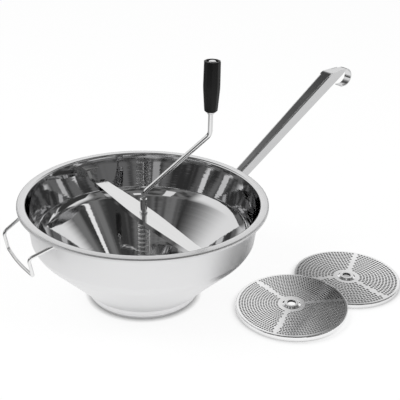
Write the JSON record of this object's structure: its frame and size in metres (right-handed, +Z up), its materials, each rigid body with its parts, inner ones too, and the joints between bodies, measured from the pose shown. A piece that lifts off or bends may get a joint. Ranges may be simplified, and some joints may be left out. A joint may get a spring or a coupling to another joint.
{
  "type": "hand-cranked food strainer",
  "caption": "Conical steel strainer bowl with a hand crank, sprung rotor blade, crossbar, long hooked handle, wire rest and interchangeable perforated discs.",
  "frame": {"origin": "on the bowl's axis, in the plane that its foot stands on", "axes": "+Z up along the bowl's axis, +X the way the crank's arm points at rest, +Y towards the back, where the long handle points with +X"},
  "size_m": [0.6073, 0.4539, 0.3692],
  "materials": {
    "polished_steel": "mirror-polished inside, satin outside",
    "bright_steel": "bright drawn bar and wire",
    "satin_steel": "pressed sheet with a fine satin grain",
    "black_plastic": "semi-gloss moulded"
  },
  "bodies": {
    "bowl": {"bowl": "polished_steel", "back_lug": "satin_steel", "front_lug": "satin_steel", "handle": "satin_steel", "handle_saddle": "satin_steel", "rest_loop": "bright_steel", "coarse_disc": "satin_steel"},
    "crossbar": {"crossbar": "polished_steel", "crossbar_bush": "bright_steel", "upper_spring_washer": "bright_steel", "pressure_spring": "bright_steel"},
    "spring_seat": {"lower_spring_washer": "bright_steel"},
    "crank": {"crank_rod": "bright_steel", "shaft_sleeve": "bright_steel", "rotor_hub": "satin_steel", "rotor_pin": "bright_steel", "rotor_blade": "satin_steel", "grip_collar": "bright_steel", "grip_washer": "bright_steel"},
    "grip": {"grip": "black_plastic"},
    "medium_disc": {"medium_disc": "satin_steel"},
    "fine_disc": {"fine_disc": "satin_steel"}
  },
  "joints": [
    {"name": "crossbar_twist", "type": "hinge", "parent": "bowl", "child": "crossbar", "pos_m": [0, 0, 0.135], "axis": [0, 0, 1], "range_deg": [-15, 0]},
    {"name": "crank_lift", "type": "slide", "parent": "crossbar", "child": "spring_seat", "axis": [0, 0, 1], "range_m": [0, 0.012], "stiffness_N_per_m": 800, "springref_m": -0.01, "deforming": ["pressure_spring"]},
    {"name": "crank_spin", "type": "hinge", "parent": "spring_seat", "child": "crank", "pos_m": [0, 0, 0.16], "axis": [0, 0, 1], "continuous": true},
    {"name": "grip_spin", "type": "hinge", "parent": "crank", "child": "grip", "pos_m": [0.095, 0, 0.33], "axis": [0, 0, 1], "continuous": true},
    {"name": "medium_disc_lift", "type": "slide", "parent": "bowl", "child": "medium_disc", "axis": [0, 0, 1], "range_m": [0, 0.025]},
    {"name": "fine_disc_lift", "type": "slide", "parent": "medium_disc", "child": "fine_disc", "axis": [0, 0, 1], "range_m": [0, 0.025]}
  ]
}
